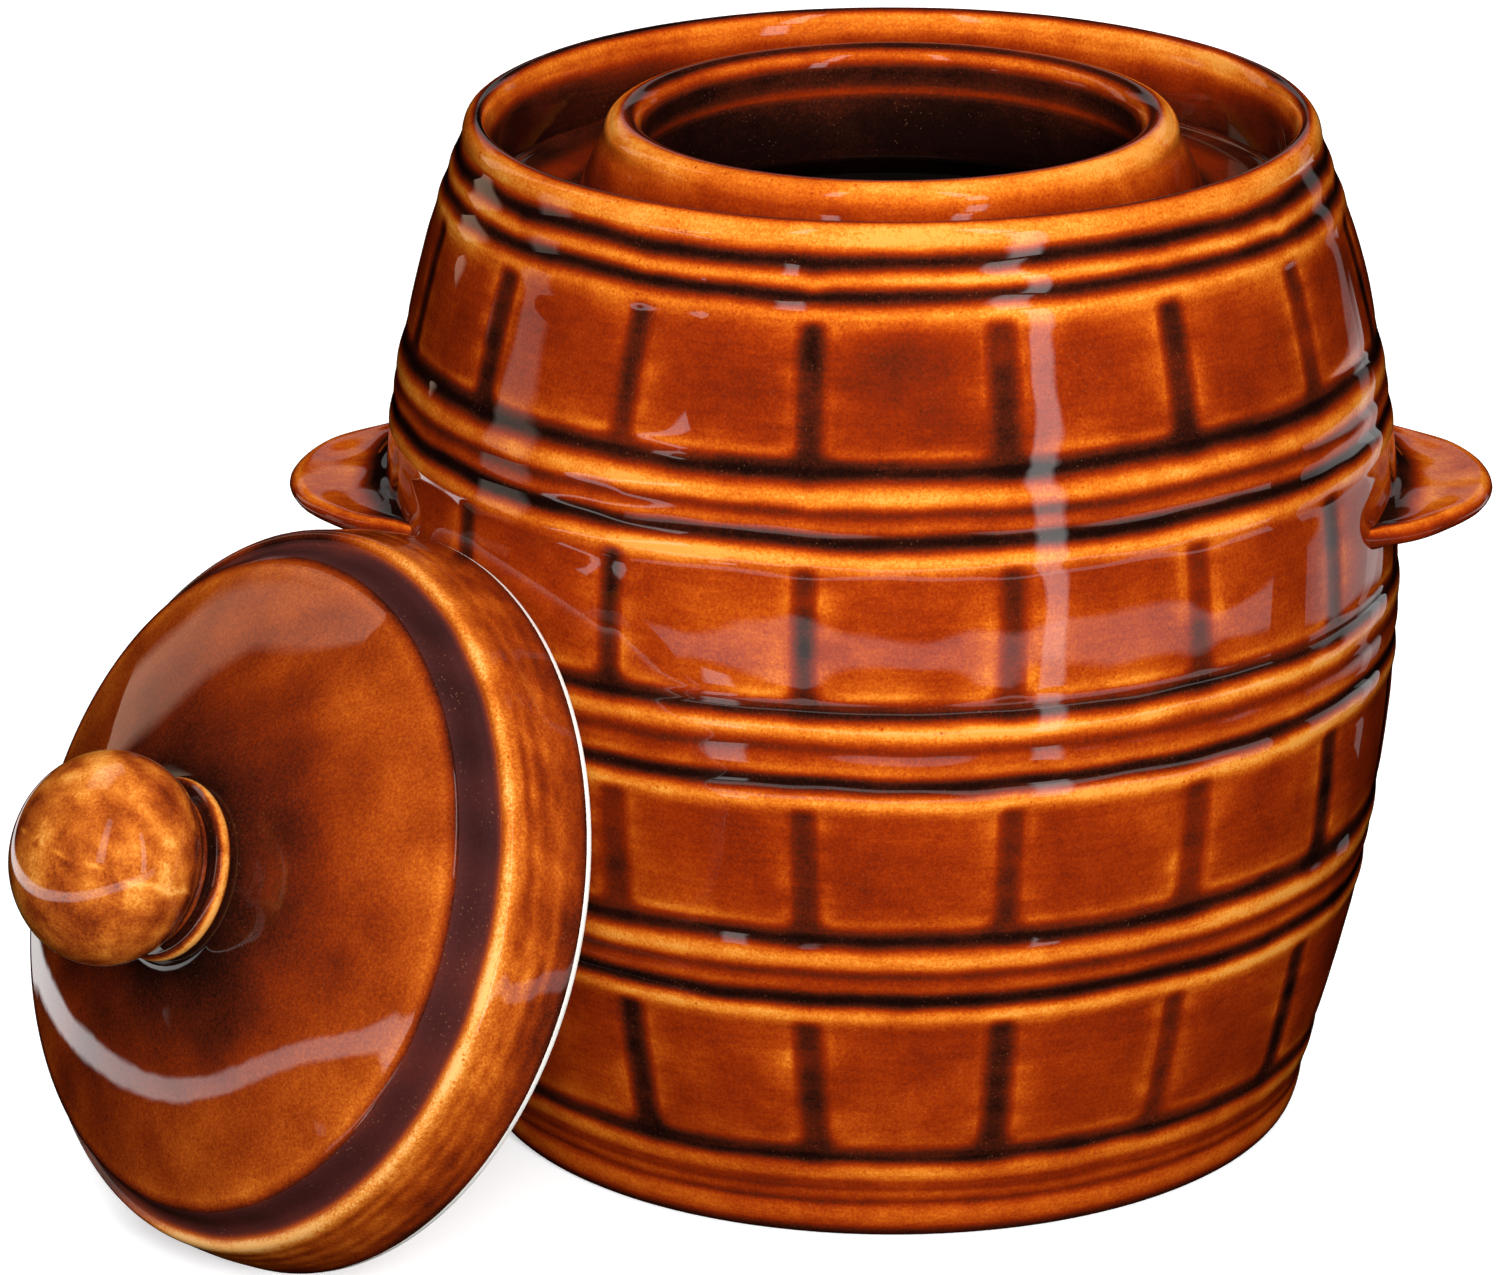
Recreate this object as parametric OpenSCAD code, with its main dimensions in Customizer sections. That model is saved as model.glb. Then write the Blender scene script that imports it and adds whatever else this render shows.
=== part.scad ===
// Water seal pickle jar: a stoneware barrel with a water channel round its neck,
// two side lugs, a domed lid with a ball knob and a pair of half-moon weights.
// The lid is drawn leaning against the barrel, with its free edge on the floor.
// Origin: centre of the foot, on the floor. +Z up, the front of the barrel is -Y.

/* [Barrel] */
// Overall height of the barrel, foot to rim crown
crock_h = 230; // [215:1:245]
// Largest outside radius of the barrel
belly_r = 114; // [110:0.5:118]
// Height of the largest radius above the floor
belly_z = 126.5; // [120:0.5:132]
// Radius of the side arc below the belly
low_arc = 368; // [340:1:420]
// Radius of the side arc above the belly
high_arc = 266; // [250:1:300]
// Thickness of the side wall
wall = 8.5; // [7:0.5:10]
// Thickness of the floor
floor_t = 10; // [8:0.5:13]
// Radius of the ring that the barrel stands on
foot_r = 90; // [86:0.5:92]
// Inside radius of the water channel's outer wall
channel_r = 88; // [86.5:0.25:88.5]

/* [Staves and hoops] */
// Number of staves round the barrel
staves = 16; // [12:1:20]
// Angle of the first stave joint from +X
stave_turn = 13.25; // [0:0.25:22]
// Depth of the joint between two staves
stave_cut = 1.0; // [0.5:0.1:2]
// How far a hoop's bead stands out
bead_out = 0.5; // [0.3:0.1:1.2]
// Half the height of a bead
bead_half = 3; // [2:0.25:3.5]
// Depth of the groove beside a bead
groove_in = 1.0; // [0.5:0.1:2.2]

/* [Neck ring] */
// Inside radius of the neck
neck_bore_r = 54.75; // [52.5:0.25:56]
// Largest outside radius of the neck, near its crown
neck_out_r = 63.5; // [62:0.25:65]
// Outside radius of the neck where it meets the channel floor
neck_root_r = 67; // [66:0.25:69]
// Depth of the water channel below the rim crown
channel_deep = 20.5; // [16:0.5:24]
// Thickness of the channel floor
ring_t = 7; // [6:0.5:9]

/* [Lugs] */
// Reach of a lug's tip from the barrel's axis
lug_reach = 134.5; // [130:0.5:138]
// Radius of a lug's round outline
lug_r = 46; // [42:0.5:48]
// Height of a lug's upper face above the floor
lug_z = 147; // [142:0.5:150]
// Thickness of a lug at its edge
lug_edge = 5; // [4:0.5:7]
// Extra thickness of a lug at its root
lug_root = 9; // [4:0.5:11]

/* [Lid] */
// Outside radius of the lid's free edge
lid_r = 81; // [78:0.25:83]
// Radius of the bright ridge above the skirt
ridge_r = 77.9; // [76:0.1:78.5]
// Height of the ridge above the free edge
ridge_h = 21.5; // [19:0.25:23]
// Thickness of the lid's wall
lid_wall = 5.5; // [4.5:0.25:7]
// Height of the flat on the dome's top above the free edge
dome_h = 46.8; // [44:0.1:48]
// Height of the cove between the ridge and the dome
cove_h = 8.5; // [6:0.5:10]
// Radius of the ball knob
knob_r = 23.1; // [18:0.1:24]
// Height of the ball knob's middle above the free edge
knob_h = 65.7; // [65:0.1:70]
// Half the height of the ball knob
knob_half = 18.9; // [15:0.1:20]
// Radius of the fat ring at the knob's foot
collar_r = 19.8; // [17:0.1:21]

/* [Weights] */
// Outside radius of the pair of weights
weight_r = 51; // [45:0.5:52]
// Thickness of a weight
weight_t = 17; // [12:0.5:22]
// Gap between the two weights
weight_gap = 2; // [1:0.25:4]
// Radius of the finger hole that the pair leaves in the middle
finger_r = 11; // [8:0.5:13]

/* [Lid leaning on the barrel] */
// Middle of the lid's free edge, left of the barrel's axis
lean_x = -118.6; // [-124:0.1:-118.5]
// Middle of the lid's free edge, in front of the barrel's axis
lean_y = -83.1; // [-88:0.1:-83]
// Middle of the lid's free edge, above the floor
lean_z = 74.4; // [74.3:0.1:80]
// Direction that the knob points in, from +X
lean_turn = -139.9; // [-142:0.1:-138]
// Angle of the knob's axis above the floor
lean_up = 22.2; // [21:0.1:24]

/* [Hidden] */
$fn = 96;
eps = 0.01;
// Heights of the beads of the three middle hoops, top bead first
hoops = [[174.5, 168.6, 161.3], [124.4, 115.5, 108], [71, 64.6, 57.3]];
// Heights of the grooves that frame and part those beads
hoop_grooves = [[180.1, 171.7, 166], [128.1, 120.2, 112.6], [76.2, 67.9, 61.4]];
// Beads and grooves of the rim hoop and of the bottom hoop
end_beads = [218.7, 211.8, 16.8];
end_grooves = [222.6, 215.6, 21];
// Low and high ends of the four rows of staves
rows = [[23.7, 54.3], [78.6, 105], [130.8, 158.4], [182.4, 209]];
beads = [for (h = hoops) for (z = h) z, for (z = end_beads) z];
grooves = [for (h = hoop_grooves) for (z = h) z, for (z = end_grooves) z];
heel_z = 9;
rim_z = crock_h - 5;
seat_z = crock_h - channel_deep;
ledge_z = seat_z - ring_t;

glaze_red = "#8f3d10";
glaze_amber = "#c9771f";
glaze_dark = "#5c2410";
clay = "#cdbfae";

// ---- the barrel's outline ----

// Radius of the plain side at height z
function side_r(z) = z < belly_z
    ? belly_r - low_arc + sqrt(low_arc * low_arc - (belly_z - z) * (belly_z - z))
    : belly_r - high_arc + sqrt(high_arc * high_arc - (z - belly_z) * (z - belly_z));

// A smooth bump of height 1 and half-width w round height c
function bump(z, c, w) = abs(z - c) >= w ? 0 : pow(cos(90 * (z - c) / w), 2);

function total(v, i = 0) = i >= len(v) ? 0 : v[i] + total(v, i + 1);

// Beads stand out of the plain side, grooves are cut into it
function relief(z) =
    bead_out * total([for (c = beads) bump(z, c, bead_half)])
    - groove_in * total([for (c = grooves) bump(z, c, 2.6)]);

// A foot that rounds up into the heel
function foot_curve() = let (a = side_r(heel_z) + relief(heel_z) - foot_r)
    [for (t = [0:15:75]) [foot_r + a * sin(t), heel_z - heel_z * cos(t)]];

// The rim hoop's band, rounded over the crown into the channel
function rim_curve() = let (o = side_r(rim_z), mid = (o + channel_r) / 2, half = (o - channel_r) / 2)
    [for (t = [0:15:180]) [mid + half * cos(t), rim_z + (crock_h - rim_z) * sin(t)]];

function outer_side() = [for (z = [heel_z:1.5:rim_z - 1]) [side_r(z) + relief(z), z]];

function inner_side() = let (top = ledge_z - 14)
    [for (i = [0:8]) let (z = top - i * (top - floor_t - 12) / 8) [side_r(z) - wall, z]];

module barrel_outside() {
    rotate_extrude()
        polygon(concat([[0, 0]], foot_curve(), outer_side(), rim_curve(), [[0, rim_z]]));
}

// One joint between two staves, a straight V along the side
module stave_joint(z0, z1) {
    r0 = side_r(z0);
    r1 = side_r(z1);
    long = norm([r1 - r0, z1 - z0]);
    translate([r0, 0, z0])
        rotate([0, atan2(r1 - r0, z1 - z0), 0])
            translate([0.9, 0, 0])
                rotate([0, 0, 45])
                    translate([-stave_cut - 0.3, -stave_cut - 0.3, 0])
                        cube([2 * stave_cut + 0.6, 2 * stave_cut + 0.6, long]);
}

module stave_joints(row) {
    for (k = [0:staves - 1])
        rotate([0, 0, stave_turn + k * 360 / staves])
            stave_joint(row[0], row[1]);
}

// ---- the pieces ----

module crock_barrel() {
    floor_in = side_r(floor_t + 12) - wall - 8;
    color(glaze_red)
        difference() {
            rotate_extrude()
                polygon(concat(
                    [[0, 3], [foot_r - 12, 3], [foot_r - 9, 0]],
                    foot_curve(), outer_side(), rim_curve(),
                    [[channel_r, ledge_z], [channel_r - 4, ledge_z], [channel_r - 4, ledge_z - 3]],
                    inner_side(),
                    [[floor_in + 5, floor_t + 4], [floor_in, floor_t], [0, floor_t]]));
            for (r = rows)
                stave_joints(r);
        }
}

// The floor of the water channel and the neck, one turned ring set on the barrel's inner ledge
module neck_ring() {
    crown_r = (neck_bore_r + neck_out_r) / 2;
    half = (neck_out_r - neck_bore_r) / 2;
    color(glaze_amber)
        rotate_extrude()
            polygon(concat(
                [[neck_bore_r + 4, ledge_z], [channel_r, ledge_z], [channel_r, seat_z + 2.5],
                 [channel_r - 0.9, seat_z + 0.8], [channel_r - 3, seat_z],
                 [neck_root_r + 3, seat_z], [neck_root_r + 0.8, seat_z + 0.8], [neck_root_r, seat_z + 3],
                 [neck_root_r - 1.4, seat_z + 7], [neck_out_r + 0.6, seat_z + 11]],
                [for (t = [0:15:180]) [crown_r + half * cos(t), crock_h - 5 + 5 * sin(t)]],
                [[neck_bore_r, ledge_z + 4], [neck_bore_r + 1.2, ledge_z + 1.2]]));
}

// A half-moon ear: flat on top, thin at its edge, thicker towards the barrel
module lug(side) {
    color(glaze_amber)
        difference() {
            translate([side * (lug_reach - lug_r), 0, 0])
                rotate_extrude()
                    polygon([[0, lug_z - lug_edge - lug_root], [lug_r - 3, lug_z - lug_edge + 0.6],
                             [lug_r - 0.8, lug_z - lug_edge + 1.6], [lug_r, lug_z - lug_edge / 2],
                             [lug_r - 0.8, lug_z - 0.8], [lug_r - 2.5, lug_z], [0, lug_z]]);
            difference() {
                barrel_outside();
                stave_joints(rows[2]);
            }
            translate([-side * 200, 0, lug_z - 20])
                cube([400, 400, 80], center = true);
        }
}

module lug_left() { lug(-1); }
module lug_right() { lug(1); }

// Moves a piece from the lid's own frame, free edge down, to where the lid leans
module leaning() {
    translate([lean_x, lean_y, lean_z])
        rotate([0, 90 - lean_up, lean_turn])
            children();
}

// Height of the dome's outer face at radius r: it steepens steadily towards its edge, with a small hollow at the knob's foot
function dome_z(r) = let (k = (r - collar_r) / (ridge_r - 8 - collar_r))
    dome_h - (dome_h - ridge_h - cove_h) * (0.417 * k + 0.523 * k * k + 0.06 * (1 - exp(-12.5 * k)));

module lid_dome() {
    edge = ridge_r - 8;
    inner = edge - 5;
    color(glaze_red)
        leaning()
            rotate_extrude()
                polygon(concat(
                    [[0, dome_h - lid_wall]],
                    [for (k = [0:6]) let (r = collar_r + k * (inner - collar_r) / 6) [r, dome_z(r) - lid_wall]],
                    [[inner + 2.6, ridge_h + 1], [inner + 4.6, ridge_h - 2], [inner + 6.2, ridge_h - 7],
                     [lid_r - lid_wall, 2], [lid_r - lid_wall + 1.2, 0.4], [lid_r - 3, 0],
                     [lid_r - 0.8, 0.5], [lid_r, 2], [lid_r - 0.3, 8], [ridge_r + 1.4, ridge_h - 6.5],
                     [ridge_r + 0.9, ridge_h - 2.4], [ridge_r + 0.5, ridge_h - 0.6], [ridge_r - 0.3, ridge_h + 0.2]],
                    [for (t = [0:15:60]) [ridge_r - 1.4 - 4 * sin(t), ridge_h + 0.2 + 4 * (1 - cos(t))]],
                    [[ridge_r - 5.7, ridge_h + cove_h - 3], [ridge_r - 6.5, ridge_h + cove_h - 1.1]],
                    [for (k = [12:-1:0]) let (r = collar_r + k * (edge - collar_r) / 12) [r, dome_z(r)]],
                    [[0, dome_h]]));
}

// A flattened ball on two rings: the fat one sits on the dome's flat
module lid_knob() {
    stem = 15.8;
    color(glaze_amber)
        leaning()
            rotate_extrude()
                polygon(concat(
                    [[0, dome_h], [collar_r - 1.2, dome_h]],
                    [for (t = [-60:30:60]) [collar_r - 2.2 + 2.2 * cos(t), dome_h + 2.4 + 2.4 * sin(t)]],
                    [[stem, dome_h + 4.7], [stem, dome_h + 5.0]],
                    [for (t = [-60:30:60]) [stem + 0.6 + cos(t), dome_h + 5.9 + sin(t)]],
                    [[stem + 0.6, dome_h + 6.9]],
                    [for (t = [-38:6.4:90]) [knob_r * cos(t), knob_h + knob_half * sin(t)]]));
}

// One half-moon weight; side is -1 for the front one and 1 for the back one
module weight(side) {
    color(clay)
        intersection() {
            translate([0, 0, floor_t])
                rotate_extrude()
                    polygon([[finger_r, 0], [weight_r - 2, 0], [weight_r, 2], [weight_r, weight_t - 2],
                             [weight_r - 2, weight_t], [finger_r, weight_t]]);
            translate([-100, side > 0 ? weight_gap / 2 : -100 - weight_gap / 2, 0])
                cube([200, 100, 100]);
        }
}

module weight_front() { weight(-1); }
module weight_back() { weight(1); }

crock_barrel();
neck_ring();
lug_left();
lug_right();
lid_dome();
lid_knob();
weight_front();
weight_back();
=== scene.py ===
"""Looks of the water seal pickle jar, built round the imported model. Lengths in the tables are in millimetres."""
import math

import bpy
import numpy as np
from mathutils import Matrix, Vector


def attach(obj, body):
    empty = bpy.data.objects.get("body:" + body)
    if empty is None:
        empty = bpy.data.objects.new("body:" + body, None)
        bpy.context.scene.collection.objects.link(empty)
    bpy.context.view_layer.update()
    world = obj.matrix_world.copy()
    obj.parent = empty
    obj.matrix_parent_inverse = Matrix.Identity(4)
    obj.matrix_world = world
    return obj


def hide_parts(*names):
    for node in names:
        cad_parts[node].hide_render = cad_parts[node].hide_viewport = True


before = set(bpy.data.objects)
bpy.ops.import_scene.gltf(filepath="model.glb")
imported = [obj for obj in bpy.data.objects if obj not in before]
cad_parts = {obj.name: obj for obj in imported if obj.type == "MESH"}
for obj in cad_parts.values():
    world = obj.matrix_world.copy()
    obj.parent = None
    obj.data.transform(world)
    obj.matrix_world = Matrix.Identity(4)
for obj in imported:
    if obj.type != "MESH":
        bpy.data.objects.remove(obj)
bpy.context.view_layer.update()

MM = 0.001
SCENE = bpy.context.scene

# ------------------------------------------------------------------ camera

PITCH, YAW, ROLL = 0.3293, 0.0194, -0.0028
forward = Vector((-math.sin(YAW) * math.cos(PITCH), math.cos(YAW) * math.cos(PITCH), -math.sin(PITCH)))
side = Vector((math.cos(YAW), math.sin(YAW), 0))
upward = Vector((-math.sin(YAW) * math.sin(PITCH), math.cos(YAW) * math.sin(PITCH), math.cos(PITCH)))
cam_x = side * math.cos(ROLL) + upward * math.sin(ROLL)
cam_y = upward * math.cos(ROLL) - side * math.sin(ROLL)
cam_data = bpy.data.cameras.new("camera")
cam_data.lens = 182.62
cam_data.sensor_fit = "HORIZONTAL"
cam_data.sensor_width = 36.0
cam_data.clip_end = 50
camera = bpy.data.objects.new("camera", cam_data)
SCENE.collection.objects.link(camera)
turn = Matrix((cam_x, cam_y, -forward)).transposed().to_4x4()
camera.matrix_world = Matrix.Translation((0, -1.62294, 0.66170)) @ turn
SCENE.camera = camera

# ------------------------------------------------------------------ curves and smoothing


def smooth(e0, e1, x):
    t = np.clip((x - e0) / (e1 - e0), 0, 1)
    return t * t * (3 - 2 * t)


def soft_curve(points, sigma, step=0.1):
    """A table of (place, value, ...) rows made into smooth curves, one per value column."""
    p = np.array(points, float)
    p = p[np.argsort(p[:, 0])]
    s = np.arange(p[0, 0] - 6 * sigma, p[-1, 0] + 6 * sigma, step)
    k = np.arange(-int(4 * sigma / step), int(4 * sigma / step) + 1) * step
    w = np.exp(-0.5 * (k / sigma) ** 2)
    w /= w.sum()
    out = []
    for c in range(1, p.shape[1]):
        v = np.interp(s, p[:, 0], p[:, c])
        n = len(k) // 2
        out.append(np.convolve(np.pad(v, n, mode="edge"), w, mode="valid"))
    return [lambda x, v=v: np.interp(x, s, v) for v in out]


def waves(seed, scales, directions=3):
    """A smooth, even, repeatable unevenness in space: a sum of sines, about -1 to 1."""
    rng = np.random.default_rng(seed)
    terms = []
    for size, amount in scales:
        for _ in range(directions * 2):
            d = rng.normal(size=3)
            d /= np.linalg.norm(d)
            terms.append((d * 2 * math.pi / size, rng.uniform(0, 2 * math.pi), amount / math.sqrt(directions * 2)))

    def value(x, y, z):
        v = 0
        for d, ph, a in terms:
            v = v + a * np.sin(d[0] * x + d[1] * y + d[2] * z + ph)
        return v

    return value


# ------------------------------------------------------------------ meshes


def make_mesh(name, verts, quads, tris, materials, attrs=None, face_mats=None, matrix=None):
    """A mesh object from arrays. verts in millimetres."""
    me = bpy.data.meshes.new(name)
    verts = np.asarray(verts, np.float64) * MM
    nq, nt = len(quads), len(tris)
    me.vertices.add(len(verts))
    me.vertices.foreach_set("co", verts.astype(np.float32).ravel())
    me.loops.add(nq * 4 + nt * 3)
    index = np.concatenate([np.asarray(quads, np.int32).ravel(), np.asarray(tris, np.int32).ravel()])
    me.loops.foreach_set("vertex_index", index.astype(np.int32))
    me.polygons.add(nq + nt)
    starts = np.concatenate([np.arange(nq) * 4, nq * 4 + np.arange(nt) * 3]).astype(np.int32)
    totals = np.concatenate([np.full(nq, 4), np.full(nt, 3)]).astype(np.int32)
    me.polygons.foreach_set("loop_start", starts)
    me.polygons.foreach_set("loop_total", totals)
    for m in materials:
        me.materials.append(m)
    if face_mats is not None:
        me.polygons.foreach_set("material_index", np.asarray(face_mats, np.int32))
    me.polygons.foreach_set("use_smooth", np.ones(nq + nt, bool))
    me.update(calc_edges=True)
    me.validate()
    for key, values in (attrs or {}).items():
        a = me.attributes.new(key, "FLOAT", "POINT")
        a.data.foreach_set("value", np.asarray(values, np.float32).ravel())
    ob = bpy.data.objects.new(name, me)
    SCENE.collection.objects.link(ob)
    if matrix is not None:
        ob.matrix_world = matrix
    return ob


def revolve_faces(nv, nu, start_pole=True, end_pole=True, loop=False):
    """Faces of rows x columns points turned round the axis, with the poles' numbers after the grid's."""
    u = np.arange(nu)
    u2 = (u + 1) % nu
    rows = np.arange(nv if loop else nv - 1)
    nxt = (rows + 1) % nv
    a = rows[:, None] * nu + u[None]
    b = rows[:, None] * nu + u2[None]
    c = nxt[:, None] * nu + u2[None]
    d = nxt[:, None] * nu + u[None]
    quads = np.stack([a, b, c, d], -1).reshape(-1, 4)
    tris, n = [], nv * nu
    row_of = np.repeat(rows, nu)
    tri_row = []
    if start_pole:
        tris.append(np.stack([np.full(nu, n), u2, u], -1))
        tri_row.append(np.full(nu, 0))
        n += 1
    if end_pole:
        last = (nv - 1) * nu
        tris.append(np.stack([last + u, last + u2, np.full(nu, n)], -1))
        tri_row.append(np.full(nu, nv - 1))
        n += 1
    tris = np.concatenate(tris) if tris else np.zeros((0, 3), int)
    return quads, tris, np.concatenate([row_of] + tri_row)


def arc_points(cr, cz, rr, rz, a0, a1, n):
    a = np.radians(np.linspace(a0, a1, n))
    return [(cr + rr * math.cos(t), cz + rz * math.sin(t)) for t in a]


def dense(points, step):
    """Points along a polyline, no further apart than step, as (r, z, tone) rows or more columns."""
    p = np.array(points, float)
    out = [p[0]]
    for a, b in zip(p[:-1], p[1:]):
        n = max(1, int(math.ceil(math.hypot(*(b - a)[:2]) / step)))
        for k in range(1, n + 1):
            out.append(a + (b - a) * k / n)
    return np.array(out)


def relax(p, rounds, keep=None):
    """Rounds the corners of a dense profile; keep marks rows that stay."""
    p = p.copy()
    for _ in range(rounds):
        q = p.copy()
        q[1:-1] = 0.25 * p[:-2] + 0.5 * p[1:-1] + 0.25 * p[2:]
        if keep is not None:
            q[keep] = p[keep]
        p = q
    return p


# ------------------------------------------------------------------ shader kit


def new_material(name):
    m = bpy.data.materials.new(name)
    m.use_nodes = True
    m.node_tree.nodes.clear()
    return m, m.node_tree


def node(t, kind, **values):
    n = t.nodes.new(kind)
    for k, v in values.items():
        if k in n.inputs:
            n.inputs[k].default_value = v
        else:
            setattr(n, k, v)
    return n


def maths(t, op, a, b=0.0, c=0.0, clamp=False):
    n = t.nodes.new("ShaderNodeMath")
    n.operation = op
    n.use_clamp = clamp
    for i, v in enumerate((a, b, c)):
        if hasattr(v, "is_output"):
            t.links.new(v, n.inputs[i])
        else:
            n.inputs[i].default_value = v
    return n.outputs[0]


def noise(t, vec, scale, detail=2.0, rough=0.5, distortion=0.0):
    n = t.nodes.new("ShaderNodeTexNoise")
    n.inputs["Scale"].default_value = scale
    n.inputs["Detail"].default_value = detail
    n.inputs["Roughness"].default_value = rough
    n.inputs["Distortion"].default_value = distortion
    t.links.new(vec, n.inputs["Vector"])
    return n.outputs["Fac"]


def scaled(t, vec, scale):
    n = t.nodes.new("ShaderNodeMapping")
    n.inputs["Scale"].default_value = scale
    t.links.new(vec, n.inputs["Vector"])
    return n.outputs["Vector"]


def ramp(t, fac, stops, smooth_steps=False):
    n = t.nodes.new("ShaderNodeValToRGB")
    n.color_ramp.interpolation = "B_SPLINE" if smooth_steps else "LINEAR"
    e = n.color_ramp.elements
    e[0].position, e[0].color = stops[0][0], (*stops[0][1], 1)
    e[1].position, e[1].color = stops[-1][0], (*stops[-1][1], 1)
    for p, c in stops[1:-1]:
        x = e.new(p)
        x.color = (*c, 1)
    t.links.new(fac, n.inputs["Fac"])
    return n.outputs["Color"]


def mix_colour(t, fac, a, b, kind="MIX"):
    n = t.nodes.new("ShaderNodeMix")
    n.data_type = "RGBA"
    n.blend_type = kind
    for key, v in ((0, fac), (6, a), (7, b)):
        if hasattr(v, "is_output"):
            t.links.new(v, n.inputs[key])
        elif key == 0:
            n.inputs[key].default_value = v
        else:
            n.inputs[key].default_value = (*v, 1)
    return n.outputs[2]


# The glaze's colour by how thick it lies: 0 pooled and near black, 1 thin over a sharp edge. In places the tone also
# carries painted shade and painted highlights.
GLAZE = [
    (0.00, (0.0075, 0.0026, 0.0020)),
    (0.06, (0.0180, 0.0048, 0.0030)),
    (0.14, (0.0560, 0.0100, 0.0045)),
    (0.24, (0.1250, 0.0150, 0.0040)),
    (0.35, (0.2200, 0.0200, 0.0028)),
    (0.46, (0.3200, 0.0340, 0.0030)),
    (0.57, (0.4400, 0.0640, 0.0045)),
    (0.69, (0.5900, 0.1180, 0.0075)),
    (0.81, (0.7600, 0.2050, 0.0150)),
    (0.92, (0.8800, 0.3100, 0.0330)),
    (1.00, (0.9300, 0.4200, 0.0750)),
]


def glaze_material(name, seed=0.0, mottle=0.16, cloud=0.20, streak=0.13, streak_scale=(1, 1, 9), grain=0.24, speck=0.40,
                   stops=GLAZE, wave=0.00003, coat=0.03, tint=(0.90, 0.80, 0.74), rough=0.62, gloss=1.0, dust=0.30):
    m, t = new_material(name)
    coords = t.nodes.new("ShaderNodeTexCoord")
    shift = t.nodes.new("ShaderNodeMapping")
    shift.inputs["Location"].default_value = (seed, seed * 0.37, seed * 0.71)
    t.links.new(coords.outputs["Object"], shift.inputs["Vector"])
    vec = shift.outputs["Vector"]
    tone = t.nodes.new("ShaderNodeAttribute")
    tone.attribute_name = "tone"
    tone = tone.outputs["Fac"]
    # how much the glaze's unevenness shows at this thickness
    room = maths(t, "MULTIPLY_ADD", tone, 0.85, 0.30, clamp=True)
    big = maths(t, "MULTIPLY", maths(t, "SUBTRACT", noise(t, vec, 26, 2.0, 0.5, 0.3), 0.5), mottle * 2)
    mid = maths(t, "MULTIPLY", maths(t, "SUBTRACT", noise(t, vec, 120, 5.0, rough, 0.4), 0.5), cloud * 2)
    run = maths(t, "MULTIPLY", maths(t, "SUBTRACT", noise(t, scaled(t, vec, streak_scale), 85, 4.0, 0.65), 0.5), streak * 2)
    fine = maths(t, "MULTIPLY", maths(t, "SUBTRACT", noise(t, vec, 1500, 3.0, 0.85), 0.5), grain * 3)
    total = maths(t, "ADD", maths(t, "ADD", big, mid), maths(t, "ADD", run, fine))
    total = maths(t, "MULTIPLY", total, room)
    dots = t.nodes.new("ShaderNodeTexVoronoi")
    dots.inputs["Scale"].default_value = 620
    t.links.new(vec, dots.inputs["Vector"])
    dot = maths(t, "SUBTRACT", 1.0, maths(t, "DIVIDE", dots.outputs["Distance"], 0.30), clamp=True)
    patchy = maths(t, "SUBTRACT", noise(t, vec, 240, 2.0, 0.6), 0.52)
    patchy = maths(t, "MULTIPLY", patchy, 5.0, clamp=True)
    dot = maths(t, "MULTIPLY", dot, patchy)
    dot = maths(t, "MULTIPLY", dot, maths(t, "SUBTRACT", tone, 0.35, clamp=True))
    dot = maths(t, "MULTIPLY", dot, speck * 2)
    thick = maths(t, "SUBTRACT", maths(t, "ADD", tone, total), dot, clamp=True)
    colour = ramp(t, thick, stops)
    # pinpricks and dust fired into the surface
    pins = t.nodes.new("ShaderNodeTexVoronoi")
    pins.inputs["Scale"].default_value = 900
    t.links.new(vec, pins.inputs["Vector"])
    pin = maths(t, "SUBTRACT", 1.0, maths(t, "DIVIDE", pins.outputs["Distance"], 0.20), clamp=True)
    pin = maths(t, "MULTIPLY", pin, maths(t, "MULTIPLY", maths(t, "SUBTRACT", noise(t, vec, 90, 2.0, 0.6), 0.46), 6.0, clamp=True))
    colour = mix_colour(t, maths(t, "MULTIPLY", pin, dust), colour, (0.46, 0.22, 0.10))
    # orange peel in the fired surface
    peel = noise(t, vec, 95, 2.0, 0.5)
    bump = t.nodes.new("ShaderNodeBump")
    bump.inputs["Distance"].default_value = wave
    bump.inputs["Strength"].default_value = 1.0
    t.links.new(peel, bump.inputs["Height"])
    shader = node(t, "ShaderNodeBsdfPrincipled", Roughness=0.5, IOR=1.5)
    shader.inputs["Specular IOR Level"].default_value = 0.0
    shader.inputs["Coat Weight"].default_value = gloss
    shader.inputs["Coat Roughness"].default_value = coat
    shader.inputs["Coat IOR"].default_value = 1.52
    shader.inputs["Coat Tint"].default_value = (*tint, 1)
    t.links.new(colour, shader.inputs["Base Color"])
    t.links.new(bump.outputs["Normal"], shader.inputs["Normal"])
    t.links.new(bump.outputs["Normal"], shader.inputs["Coat Normal"])
    out = t.nodes.new("ShaderNodeOutputMaterial")
    t.links.new(shader.outputs["BSDF"], out.inputs["Surface"])
    return m


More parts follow.
